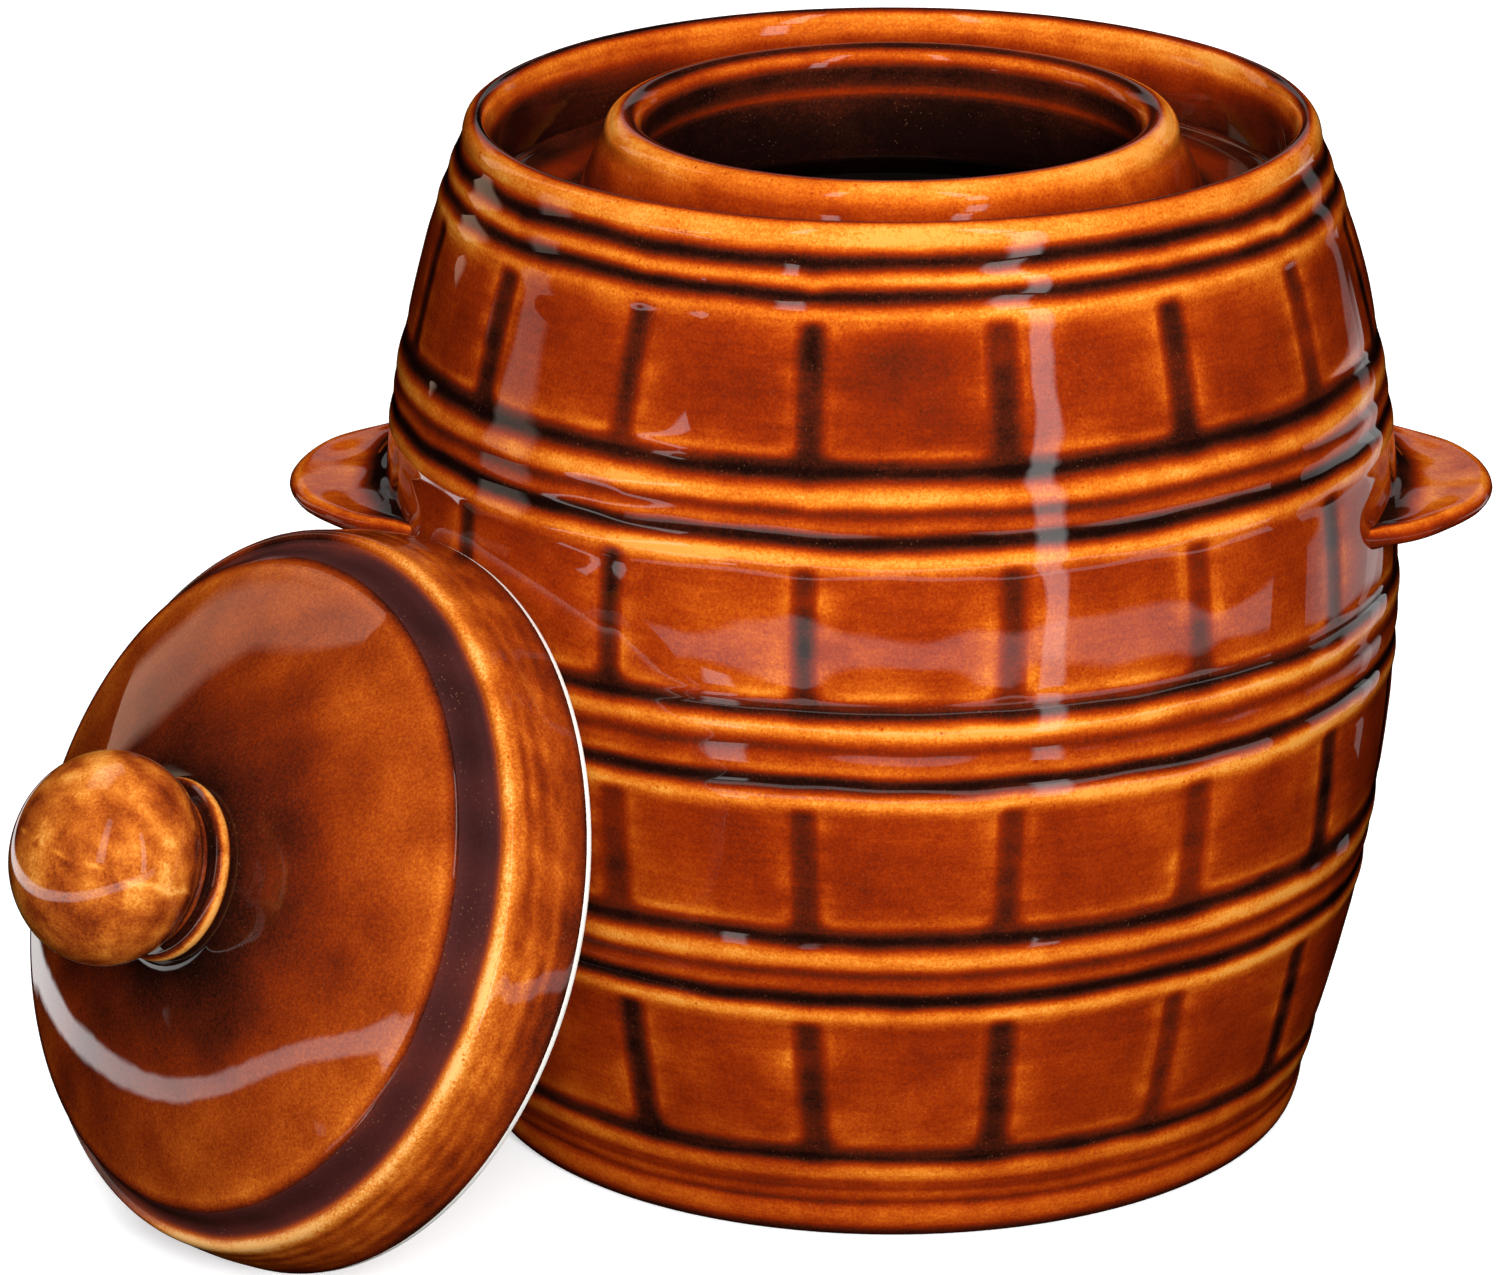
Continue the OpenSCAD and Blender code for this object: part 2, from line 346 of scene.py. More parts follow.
def clay_material(name, light=(0.62, 0.53, 0.43), dark=(0.42, 0.34, 0.26), rough=0.85):
    m, t = new_material(name)
    coords = t.nodes.new("ShaderNodeTexCoord").outputs["Object"]
    a = noise(t, coords, 45, 5.0, 0.6)
    b = noise(t, coords, 700, 3.0, 0.7)
    colour = ramp(t, a, [(0.3, dark), (0.7, light)])
    dots = t.nodes.new("ShaderNodeTexVoronoi")
    dots.inputs["Scale"].default_value = 330
    t.links.new(coords, dots.inputs["Vector"])
    iron = maths(t, "SUBTRACT", 1.0, maths(t, "DIVIDE", dots.outputs["Distance"], 0.2), clamp=True)
    iron = maths(t, "MULTIPLY", iron, maths(t, "MULTIPLY", maths(t, "SUBTRACT", noise(t, coords, 160, 2.0), 0.55), 8.0, clamp=True))
    colour = mix_colour(t, maths(t, "MULTIPLY", iron, 0.75), colour, (0.16, 0.09, 0.05))
    colour = mix_colour(t, maths(t, "MULTIPLY", b, 0.25), colour, (0.78, 0.71, 0.60))
    bump = t.nodes.new("ShaderNodeBump")
    bump.inputs["Distance"].default_value = 0.00025
    bump.inputs["Strength"].default_value = 0.7
    t.links.new(b, bump.inputs["Height"])
    shader = node(t, "ShaderNodeBsdfPrincipled", Roughness=rough)
    shader.inputs["Specular IOR Level"].default_value = 0.25
    t.links.new(colour, shader.inputs["Base Color"])
    t.links.new(bump.outputs["Normal"], shader.inputs["Normal"])
    out = t.nodes.new("ShaderNodeOutputMaterial")
    t.links.new(shader.outputs["BSDF"], out.inputs["Surface"])
    return m


barrel_glaze = glaze_material("barrel_glaze", 0.0)
neck_glaze = glaze_material("neck_glaze", 3.1)
lug_glaze = glaze_material("lug_glaze", 5.3, mottle=0.26, cloud=0.34, streak=0.10, streak_scale=(1, 1, 3))
LID = [(0.00, (0.0085, 0.0028, 0.0020)), (0.08, (0.0240, 0.0055, 0.0030)), (0.20, (0.0900, 0.0130, 0.0045)), (0.34, (0.2000, 0.0250, 0.0040)), (0.46, (0.3100, 0.0480, 0.0050)),
       (0.58, (0.4300, 0.0850, 0.0080)), (0.70, (0.5800, 0.1450, 0.0130)), (0.82, (0.7600, 0.2500, 0.0300)), (0.92, (0.8800, 0.3900, 0.0750)), (1.00, (0.9400, 0.5400, 0.1800))]
lid_glaze = glaze_material("lid_glaze", 7.7, mottle=0.12, cloud=0.17, streak=0.08, streak_scale=(1, 1, 1), grain=0.30, stops=LID)
KNOB = [(0.00, (0.0100, 0.0030, 0.0020)), (0.10, (0.0340, 0.0060, 0.0030)), (0.24, (0.1200, 0.0170, 0.0045)), (0.38, (0.2500, 0.0430, 0.0070)), (0.52, (0.4000, 0.0880, 0.0110)),
        (0.66, (0.5600, 0.1560, 0.0180)), (0.80, (0.7200, 0.2500, 0.0330)), (0.92, (0.8500, 0.3700, 0.0700)), (1.00, (0.9000, 0.4600, 0.1100))]
knob_glaze = glaze_material("knob_glaze", 11.9, mottle=0.36, cloud=0.52, streak=0.16, streak_scale=(1, 1, 1), grain=0.30, stops=KNOB, rough=0.74)
COVE = [(0.0, (0.020, 0.006, 0.006)), (0.12, (0.058, 0.0135, 0.0120)), (0.30, (0.160, 0.026, 0.012)), (0.55, (0.42, 0.075, 0.010)), (1.0, (0.88, 0.33, 0.05))]
cove_glaze = glaze_material("cove_glaze", 8.9, mottle=0.05, cloud=0.05, streak=0.03, streak_scale=(1, 1, 1), grain=0.16, stops=COVE, coat=0.60, gloss=0.35, dust=0.5)
bare_clay = clay_material("bare_clay", (0.80, 0.74, 0.66), (0.66, 0.58, 0.49), 0.8)
ground_edge = clay_material("ground_edge", (0.97, 0.95, 0.91), (0.90, 0.86, 0.80), 0.7)
weight_clay = clay_material("weight_clay")

# ------------------------------------------------------------------ barrel

CROCK_H, BELLY_R, BELLY_Z, LOW_ARC, HIGH_ARC = 230.0, 114.0, 126.5, 368.0, 266.0
WALL, FLOOR_T, FOOT_R, CHANNEL_R = 8.5, 10.0, 90.0, 88.0
LEDGE_Z, SEAT_Z, RIM_Z, HEEL_Z = 202.5, 209.5, 225.0, 9.0
STAVES, STAVE_TURN = 16, 13.25
ROWS = [(23.7, 54.3), (78.6, 105.0), (130.8, 158.4), (182.4, 209.0)]


def side_r(z):
    z = np.asarray(z, float)
    low = BELLY_R - LOW_ARC + np.sqrt(LOW_ARC**2 - (BELLY_Z - z) ** 2)
    high = BELLY_R - HIGH_ARC + np.sqrt(HIGH_ARC**2 - (z - BELLY_Z) ** 2)
    return np.where(z < BELLY_Z, low, high)


def hoop(g1, b1, h1, b2, g2, b3, lift=0.85, mid=0.35, middle=0.66):
    """Rows (height, out of the plain side, tone) of a hoop, from the groove over it down to its last bead."""
    return [
        (g1 + 3.0, -0.15, 0.60), (g1 + 1.8, -0.7, 0.36), (g1 + 0.9, -1.15, 0.06), (g1 - 0.7, -1.2, 0.02), (g1 - 1.7, -0.6, 0.22),
        (b1 + 2.0, 0.35, 0.70), (b1 + 0.9, lift, 0.91), (b1 - 0.6, lift, 0.89), (b1 - 1.8, lift - 0.4, 0.64),
        (h1 + 0.7, -0.25, 0.30), (h1 - 0.4, -0.4, 0.20), (h1 - 1.3, 0.0, 0.40),
        (b2 + 1.0, mid - 0.1, middle - 0.14), (b2, mid, middle), (b2 - 0.9, mid - 0.4, middle - 0.26),
        (g2 + 1.0, -0.9, 0.07), (g2 + 0.2, -1.1, 0.02), (g2 - 0.9, -1.1, 0.02), (g2 - 1.8, -0.6, 0.20),
        (b3 + 1.9, 0.3, 0.66), (b3 + 0.8, lift, 0.92), (b3 - 0.5, lift, 0.92), (b3 - 1.8, 0.3, 0.66),
        (b3 - 3.0, -0.2, 0.44), (b3 - 4.4, -0.2, 0.42),
    ]


LEVELS = (
    [(0.0, -0.3, 0.10), (2.2, -0.2, 0.16), (3.6, 0.0, 0.54), (6.0, 0.1, 0.66), (8.0, 0.0, 0.60), (9.2, -0.35, 0.16),
     (10.2, 0.0, 0.46), (11.8, 0.1, 0.58), (13.0, -0.25, 0.22), (13.8, 0.15, 0.52), (14.6, -0.1, 0.28),
     (15.5, 0.6, 0.66), (16.8, 0.85, 0.75), (18.3, 0.7, 0.74), (19.6, -0.2, 0.44), (20.6, -1.1, 0.05), (21.4, -1.2, 0.03),
     (22.4, -0.7, 0.26), (23.8, -0.3, 0.52), (26.5, 0.0, 0.42)]
    + [(50.0, 0.0, 0.41)]
    + hoop(76.2, 71.0, 67.9, 64.6, 61.8, 57.3, middle=0.62)
    + [(81.5, 0.0, 0.44), (99.5, 0.0, 0.42)]
    + hoop(128.1, 124.4, 120.3, 115.5, 112.8, 108.0, middle=0.70)
    + [(133.5, 0.0, 0.46), (153.5, 0.0, 0.44)]
    + hoop(180.1, 174.6, 171.7, 168.6, 166.0, 161.3)
    + [(185.5, 0.0, 0.42), (203.5, 0.0, 0.38), (206.5, -0.3, 0.42), (208.8, -0.3, 0.52), (210.4, 0.5, 0.76), (211.8, 0.85, 0.90),
       (212.8, 0.5, 0.72), (213.9, -0.4, 0.30), (214.9, -1.1, 0.05), (216.2, -1.2, 0.03), (217.2, -0.3, 0.46),
       (218.2, 0.6, 0.90), (219.2, 0.6, 0.90), (220.3, -0.3, 0.44), (221.4, -1.1, 0.05), (223.0, -1.2, 0.02), (224.0, -0.5, 0.34),
       (225.2, 0.0, 0.76), (227.0, 0.0, 0.88)]
)
level_off = soft_curve([(z, 0.27 * off, tone) for z, off, tone in LEVELS], 1.05)[0]
level_tone = soft_curve(LEVELS, 0.50)[1]

uneven = waves(5, [(70, 0.16), (38, 0.12), (21, 0.06), (12, 0.02)])
tone_drift = waves(9, [(90, 0.06), (45, 0.05), (17, 0.04)])
groove_rng = np.random.default_rng(21)
groove_deep = groove_rng.uniform(0.82, 1.12, (4, STAVES))
groove_wide = groove_rng.uniform(0.80, 1.20, (4, STAVES))
groove_lean = groove_rng.uniform(-0.7, 0.7, (4, STAVES))
wobble = groove_rng.uniform(0.15, 1.0, STAVES)
panel_tone = groove_rng.uniform(-0.04, 0.03, (4, STAVES))
groove_tone = groove_rng.uniform(0.08, 0.23, (4, STAVES))
bead_wave = waves(13, [(34, 0.6), (16, 0.35)])
edge_patch = waves(17, [(24, 0.7), (11, 0.5)])


def barrel_outside(theta, z):
    """Radius and tone of the barrel's outer face. theta in radians and z in millimetres are arrays of one shape."""
    base = side_r(z)
    x3, y3 = base * np.cos(theta), base * np.sin(theta)
    pitch = 360.0 / STAVES
    where = (np.degrees(theta) - STAVE_TURN) / pitch
    near = np.round(where).astype(int)
    gi = near % STAVES
    pi = np.floor(where).astype(int) % STAVES
    dx = (where - near) * pitch * math.pi / 180 * base  # along the side from the nearest groove
    # the thin bead under the rim steps down a little where a stave joint lies under it
    top = smooth(214, 217, z) * (1 - smooth(221, 224, z))
    zz = z + top * wobble[gi] * 0.8 * np.exp(-((dx / 2.8) ** 2)) + bead_wave(x3, y3, z) * 0.35
    off, tone = level_off(zz), level_tone(zz)
    patch = edge_patch(x3, y3, z * 1.6)
    for k, (lo, hi) in enumerate(ROWS):
        half = base * math.pi / STAVES
        hw = half - 2.1 * groove_wide[k][gi]
        bottom, topz = lo - 0.4, hi + 2.8
        zc, hh = (bottom + topz) / 2, (topz - bottom) / 2
        px = half - np.abs(dx - groove_lean[k][gi] * (z - zc) / hh * 0.6)  # from the panel's middle
        rc = np.where(z < zc, 4.2, 2.2)
        qx, qz = px - (hw - rc), np.abs(z - zc) - (hh - rc)
        d = np.hypot(np.maximum(qx, 0), np.maximum(qz, 0)) + np.minimum(np.maximum(qx, qz), 0) - rc
        within = smooth(bottom - 3.4, bottom - 1.0, z) * (1 - smooth(topz - 3.4, topz + 0.4, z))
        deep = groove_deep[k][gi]
        off = off - 0.15 * deep * smooth(-3.6, 2.4, d) * within
        # the joint runs out into the groove over the hoop and makes a hollow there
        hollow = np.exp(-((dx / 4.6) ** 2) - (((z - (bottom - 2.6)) / 2.1) ** 2))
        off = off - 0.12 * hollow * deep
        rowmask = smooth(bottom - 1.0, bottom + 1.5, z) * (1 - smooth(topz - 4.5, topz - 0.5, z))
        xi = np.clip(px / hw, 0, 1)
        zi = np.clip(np.abs(z - zc) / hh, 0, 1)
        off = off - rowmask * 0.30 * (1 - (1 - xi**2.2) * (1 - zi**2.6))
        inward = np.clip(-d, 0, 99)
        side_in = np.clip(hw - px, 0, 99)
        low_in = np.clip(z - bottom, 0, 99)
        rise = smooth(0.2, 2.2, inward)
        glow = np.maximum((0.8 + 0.8 * patch) * np.exp(-side_in / 3.2), (0.9 + 0.5 * patch) * np.exp(-low_in / 2.6))
        tone = tone + rowmask * (0.34 * glow * rise + panel_tone[k][pi] - 0.005)
        dark = smooth(-2.5, 1.6, d) * within
        pool = groove_tone[k][gi] + 0.10 * patch * (1 - np.abs(z - zc) / hh)
        tone = tone * (1 - dark) + dark * np.minimum(tone, pool)
        tone = tone * (1 - 0.55 * hollow)
    r = base + np.minimum(off, 0.46) + np.minimum(uneven(x3, y3, z) - 0.18, 0.0)
    tone = tone + tone_drift(x3, y3, z) * (0.25 + 0.9 * tone)
    return r, tone


def barrel_levels():
    z = [HEEL_Z]
    while z[-1] < RIM_Z:
        here = z[-1]
        in_row = any(lo + 4 < here < hi - 2.5 for lo, hi in ROWS)
        z.append(here + (1.35 if in_row else 0.55))
    z[-1] = RIM_Z
    if z[-1] - z[-2] < 0.3:
        del z[-2]
    return np.array(z)


def barrel():
    per = 26
    nu = STAVES * per
    t = (np.arange(per) / per)
    within = t - 0.76 * np.sin(2 * math.pi * t) / (2 * math.pi)
    theta = np.radians(STAVE_TURN + (np.arange(STAVES)[:, None] + within[None]).ravel() * 360.0 / STAVES)
    rows_r, rows_z, rows_t, bare = [], [], [], []

    def ring(r, z, tone, raw=False):
        rows_r.append(np.broadcast_to(np.asarray(r, float), (nu,)).copy())
        rows_z.append(np.broadcast_to(np.asarray(z, float), (nu,)).copy())
        rows_t.append(np.broadcast_to(np.asarray(tone, float), (nu,)).copy())
        bare.append(raw)

    # underside: a recess, the bare ring it stands on
    for r in (12, 30, 48, 62, 72):
        ring(r, 3.0, 0.30)
    ring(77.0, 3.0, 0.26)
    ring(78.4, 2.6, 0.22)
    ring(79.8, 1.2, 0.2)
    ring(80.8, 0.35, 0.2, True)
    ring(81.8, 0.0, 0.2, True)
    ring(84.5, 0.0, 0.2, True)
    ring(87.2, 0.0, 0.2, True)
    ring(89.4, 0.02, 0.2, True)
    # heel
    heel_r, _ = barrel_outside(theta, np.full(nu, HEEL_Z))
    for a in (14, 22, 30, 38, 46, 54, 62, 70, 78, 84):
        s, c = math.sin(math.radians(a)), math.cos(math.radians(a))
        z = HEEL_Z * (1 - c)
        rr = FOOT_R + (heel_r - FOOT_R) * s
        ring(rr + level_off(z) * 0.5, z, level_tone(z))
    # side
    for z in barrel_levels():
        zz = np.full(nu, z)
        r, tone = barrel_outside(theta, zz)
        ring(r, zz, tone)
    # rim: amber outside, dark on the crown, amber again on the inner edge
    r_out = rows_r[-1]
    mid, half = (r_out + CHANNEL_R) / 2, (r_out - CHANNEL_R) / 2
    for a in np.arange(8, 180, 8):
        s, c = math.sin(math.radians(a)), math.cos(math.radians(a))
        tone = np.interp(a, [0, 20, 52, 68, 84, 104, 118, 128, 146, 162, 180], [0.84, 0.88, 0.86, 0.70, 0.22, 0.08, 0.16, 0.56, 0.86, 0.90, 0.80])
        drift = tone_drift(mid * np.cos(theta), mid * np.sin(theta), 240.0)
        if a < 90:
            ring(mid + half * c, RIM_Z + (CROCK_H - RIM_Z) * s, tone + drift * 0.8)
    for a in np.arange(88, 30, -6):  # the inner lip falls more gently into the channel
        s, c = math.sin(math.radians(a)), math.cos(math.radians(a))
        tone = np.interp(a, [40, 50, 58, 66, 74, 82, 90], [0.70, 0.80, 0.82, 0.60, 0.20, 0.08, 0.12])
        drift = tone_drift(mid * np.cos(theta), mid * np.sin(theta), 240.0)
        ring(mid - half * c, CROCK_H - 10.0 * (1 - s), tone + drift * 0.8)
    # channel wall: darker deeper down, and darker still towards its left and right sides, which is painted shade
    shade = 1 - 0.62 * smooth(0.45, 0.95, -np.cos(theta)) - 0.30 * smooth(0.5, 0.95, np.cos(theta))
    for z, tone in ((224.6, 0.62), (223.8, 0.54), (222.8, 0.46), (221.6, 0.39), (220.4, 0.33), (219.0, 0.28), (217.4, 0.22), (215.6, 0.16),
                    (213.6, 0.13), (211.6, 0.07), (210.0, 0.05), (207.0, 0.04), (205.0, 0.04), (203.2, 0.04)):
        drift = tone_drift(80 * np.cos(theta), 80 * np.sin(theta), 300.0 + z)
        lip = (half * (1 - math.sqrt(1 - min((z - 220.0) / 10.0, 1) ** 2))) if z > 220 else 0.0
        ring(CHANNEL_R + lip, z, tone * (1 - (1 - shade) * smooth(226, 222, z)) + drift * 0.9)
    ring(CHANNEL_R - 0.4, LEDGE_Z, 0.1)
    ring(CHANNEL_R - 3.6, LEDGE_Z, 0.1)
    ring(CHANNEL_R - 4.0, LEDGE_Z - 0.4, 0.15)
    ring(CHANNEL_R - 4.0, LEDGE_Z - 3, 0.2)
    top = LEDGE_Z - 14
    ring(float(side_r(top) - WALL) - 6.5, LEDGE_Z - 7.5, 0.25)
    for i in range(0, 33):
        z = top - i * (top - FLOOR_T - 12) / 32
        zz = np.full(nu, z)
        r = side_r(z) - WALL + 0.12 * uneven(100 * np.cos(theta), 100 * np.sin(theta), zz * 1.3)
        ring(r, zz, 0.0 + 0.15 * tone_drift(90 * np.cos(theta), 90 * np.sin(theta), zz + 400))
    floor_in = float(side_r(FLOOR_T + 12) - WALL - 8)
    ring(floor_in + 7.4, FLOOR_T + 8.5, 0.03)
    ring(floor_in + 5.6, FLOOR_T + 4.6, 0.03)
    ring(floor_in + 2.6, FLOOR_T + 1.7, 0.03)
    ring(floor_in - 1.2, FLOOR_T + 0.4, 0.03)
    for r in (78, 70, 60, 48, 34, 20, 8):
        ring(r, FLOOR_T + 0.05, 0.03)
    R, Z, T = np.array(rows_r), np.array(rows_z), np.array(rows_t)
    nv = len(R)
    X, Y = R * np.cos(theta), R * np.sin(theta)
    verts = np.concatenate([np.stack([X, Y, Z], -1).reshape(-1, 3), [[0, 0, 3.0], [0, 0, FLOOR_T]]])
    tone = np.concatenate([T.ravel(), [0.3, 0.03]])
    quads, tris, row_of = revolve_faces(nv, nu)
    raw = np.array(bare)
    nxt = np.append(raw[1:], raw[-1])
    mats = (raw & nxt)[row_of].astype(int)
    mats[len(quads):] = 0
    ob = make_mesh("barrel", verts, quads, tris, [barrel_glaze, bare_clay], {"tone": tone}, mats)
    return ob


barrel_ob = barrel()
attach(barrel_ob, "crock")
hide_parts("crock_barrel")

# ------------------------------------------------------------------ neck and channel floor

NECK_BORE, NECK_OUT, NECK_ROOT = 54.75, 63.5, 67.0


def lathe(name, rows, nu, materials, start=None, end=None, loop=False, matrix=None, shake=None, raw=None, tone_shake=None, second=None):
    """Turns rows of (r, z, tone) round the axis. start and end are the heights of the poles."""
    p = np.asarray(rows, float)
    theta = np.arange(nu) * 2 * math.pi / nu
    c, s = np.cos(theta), np.sin(theta)
    R = np.repeat(p[:, :1], nu, 1)
    Z = np.repeat(p[:, 1:2], nu, 1)
    T = np.repeat(p[:, 2:3], nu, 1)
    if shake is not None:
        dr, dz = shake(R, c[None], s[None], Z)
        R, Z = R + dr, Z + dz
    if tone_shake is not None:
        T = T + tone_shake(R * c[None], R * s[None], Z) * (0.25 + 0.9 * T)
    verts = np.stack([R * c, R * s, Z], -1).reshape(-1, 3)
    tone = T.ravel()
    extra, et = [], []
    if start is not None:
        extra.append([0, 0, start])
        et.append(p[0, 2])
    if end is not None:
        extra.append([0, 0, end])
        et.append(p[-1, 2])
    if extra:
        verts = np.concatenate([verts, extra])
        tone = np.concatenate([tone, et])
    quads, tris, row_of = revolve_faces(len(p), nu, start is not None, end is not None, loop)
    mats = None
    if raw is not None:
        raw = np.asarray(raw, bool)
        nxt = np.roll(raw, -1) if loop else np.append(raw[1:], raw[-1])
        mats = (raw & nxt)[row_of].astype(int)
    if second is not None:
        mats = np.where((second & np.append(second[1:], False))[row_of], 2, mats)
    if matrix is not None:
        place = np.array(matrix)
        verts = verts @ place[:3, :3].T + place[:3, 3] / MM
    return make_mesh(name, verts, quads, tris, materials, {"tone": tone}, mats)


crown_r, crown_half = (NECK_BORE + NECK_OUT) / 2, (NECK_OUT - NECK_BORE) / 2
crown = []
for a in np.arange(0, 181, 9):
    tone = np.interp(a, [0, 22, 58, 76, 92, 108, 120, 132, 148, 166, 180], [0.60, 0.80, 0.92, 0.80, 0.26, 0.10, 0.14, 0.60, 0.70, 0.30, 0.10])
    crown.append((crown_r + crown_half * math.cos(math.radians(a)), RIM_Z + 5 * math.sin(math.radians(a)), tone))
neck_rows = dense(
    [(NECK_BORE + 4, LEDGE_Z, 0.4), (CHANNEL_R, LEDGE_Z, 0.1), (CHANNEL_R, SEAT_Z + 2.5, 0.16), (CHANNEL_R - 0.9, SEAT_Z + 0.8, 0.12),
     (CHANNEL_R - 3, SEAT_Z, 0.14), (CHANNEL_R - 8, SEAT_Z, 0.34), (NECK_ROOT + 8.5, SEAT_Z, 0.36), (NECK_ROOT + 5.4, SEAT_Z, 0.16), (NECK_ROOT + 3.0, SEAT_Z + 0.8, 0.07),
     (NECK_ROOT + 1.9, SEAT_Z + 3, 0.10), (NECK_ROOT + 0.6, SEAT_Z + 7, 0.28), (NECK_OUT + 2.2, SEAT_Z + 11, 0.38), (NECK_OUT + 0.9, SEAT_Z + 13.6, 0.50)], 1.2)
neck_rows = np.concatenate([neck_rows, crown, dense([(NECK_BORE, 224.0, 0.08), (NECK_BORE, 222.4, 0.10), (NECK_BORE + 0.05, 221.2, 0.16), (NECK_BORE + 0.1, 220.2, 0.32), (NECK_BORE + 0.25, 219.5, 0.38), (NECK_BORE + 0.4, 218.8, 0.20),
                                                     (NECK_BORE + 0.5, 217.6, 0.08), (NECK_BORE + 0.4, 213.0, 0.03), (NECK_BORE, 209.0, 0.0), (NECK_BORE, LEDGE_Z + 4.6, 0.0),
                                                     (NECK_BORE + 0.5, LEDGE_Z + 3.2, 0.02), (NECK_BORE + 1.3, LEDGE_Z + 1.2, 0.02), (NECK_BORE + 3.2, LEDGE_Z + 0.1, 0.02)], 0.8)])
neck_shift = waves(31, [(60, 0.10), (28, 0.05)])
neck_ob = lathe("neck", neck_rows, 320, [neck_glaze], loop=True,
                shake=lambda R, c, s, Z: (neck_shift(R * c, R * s, Z) * 0.6 * smooth(SEAT_Z + 2, SEAT_Z + 8, Z), np.minimum(neck_shift(R * s, R * c, Z) - 0.1, 0) * 0.5 * smooth(SEAT_Z + 6, SEAT_Z + 12, Z)),
                tone_shake=tone_drift)
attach(neck_ob, "crock")
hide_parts("neck_ring")

# ------------------------------------------------------------------ lugs

LUG_REACH, LUG_R, LUG_Z, LUG_EDGE, LUG_ROOT = 134.45, 46.0, 147.0, 5.0, 9.0


def lug(name, sign):
    """A half-moon ear. Its inner end is sunk three millimetres into the barrel's wall."""
    sunk = 111.0
    cx = LUG_REACH - LUG_R
    xi = (cx**2 + sunk**2 - LUG_R**2) / (2 * cx)
    yi = math.sqrt(sunk**2 - xi**2)
    psi, alpha = math.atan2(yi, xi - cx), math.atan2(yi, xi)
    cols = np.linspace(-0.992, 0.992, 97)
    # section: t from the wall (0) to the edge (1) on top, round the edge, back below
    top = [(t, "top") for t in np.linspace(0, 1, 22)]
    verts, tones = [], []
    n_edge = 9
    for s in cols:
        inner = np.array([sunk * math.cos(alpha * s), sunk * math.sin(alpha * s)])
        outer = np.array([cx + LUG_R * math.cos(psi * s), LUG_R * math.sin(psi * s)])
        span = outer - inner
        length = np.linalg.norm(span)
        direction = span / length
        tip = min(3.2, length * 0.45)
        half = LUG_EDGE / 2
        edge_c = outer - direction * tip
        flat = max(length - tip, 1e-3)
        sect = []
        for t in np.linspace(0, 1, 20):  # on top, slightly dished, from the wall outwards
            p = inner + direction * flat * t
            w = flat * t
            fillet = 2.2 * math.exp(-max(w - 3.0, 0) / 2.2) * min(1, length / 16)
            z = LUG_Z - 0.2 - 0.6 * math.sin(math.pi * t) ** 2 + fillet * 0.9
            # the tone across the top: the glaze's own colour, raised in places as a painted highlight
            glow = np.interp(length - w, [0, 0.8, 3, 8, 14, 19, 40], [0.80, 0.68, 0.60, 0.64, 0.72, 0.84, 0.74])
            near = smooth(3.2, 10.5, np.array(w))
            sect.append((p, min(z, LUG_Z + 1.6), float(0.02 + (glow - 0.02) * near)))
        rise = LUG_EDGE - 0.6
        for a in np.linspace(90, -90, n_edge + 2)[1:-1]:
            p = edge_c + direction * tip * math.cos(math.radians(a))
            z = LUG_Z - 0.2 - rise / 2 + rise / 2 * math.sin(math.radians(a))
            sect.append((p, z, np.interp(a, [-90, -30, 20, 48, 70, 90], [0.30, 0.30, 0.34, 0.66, 0.80, 0.56])))
        for t in np.linspace(1, 0, 20):
            p = inner + direction * flat * t
            w = flat * t
            rho = min(math.hypot(p[0] - cx, p[1]) / (LUG_R - 3), 1.0)
            z = LUG_Z - 0.2 - LUG_EDGE - LUG_ROOT + (LUG_ROOT + 0.6) * rho
            fillet = 1.2 * math.exp(-max(w - 3.0, 0) / 2.0) * min(1, length / 20)
            sect.append((p, z - fillet, np.interp(w, [0, 3.2, 6, 10, 20], [0.02, 0.04, 0.26, 0.42, 0.46])))
        verts.append([(sign * q[0], q[1], z) for q, z, _ in sect])
        tones.append([tn for _, _, tn in sect])
    V = np.array(verts, float)
    T = np.array(tones, float)
    shift = waves(41 if sign > 0 else 43, [(40, 0.25), (18, 0.12)])
    V[:, :, 2] += shift(V[:, :, 0], V[:, :, 1], 0) - 0.1
    T = T + tone_drift(V[:, :, 0], V[:, :, 1], V[:, :, 2]) * (0.3 + T)
    nc, ns = V.shape[:2]
    i = np.arange(nc - 1)[:, None]
    j = np.arange(ns)[None]
    j2 = (j + 1) % ns
    a, b, c, d = i * ns + j, i * ns + j2, (i + 1) * ns + j2, (i + 1) * ns + j
    quads = np.stack([a, b, c, d], -1).reshape(-1, 4)
    if sign < 0:
        quads = quads[:, ::-1]
    verts = V.reshape(-1, 3)
    tone = T.ravel()
    # close the two pinched ends, inside the wall
    e0, e1 = V[0].mean(0), V[-1].mean(0)
    n = len(verts)
    verts = np.concatenate([verts, [e0, e1]])
    tone = np.concatenate([tone, [0.1, 0.1]])
    jj = np.arange(ns)
    j3 = (jj + 1) % ns
    t0 = np.stack([np.full(ns, n), j3, jj], -1)
    t1 = np.stack([np.full(ns, n + 1), (nc - 1) * ns + jj, (nc - 1) * ns + j3], -1)
    if sign < 0:
        t0, t1 = t0[:, ::-1], t1[:, ::-1]
    ob = make_mesh(name, verts, quads, np.concatenate([t0, t1]), [lug_glaze], {"tone": tone})
    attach(ob, "crock")
    return ob


for name, sign in (("lug_ear_left", -1), ("lug_ear_right", 1)):
    ear = lug(name, sign)
    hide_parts("lug_left" if sign < 0 else "lug_right")

# ------------------------------------------------------------------ lid and knob

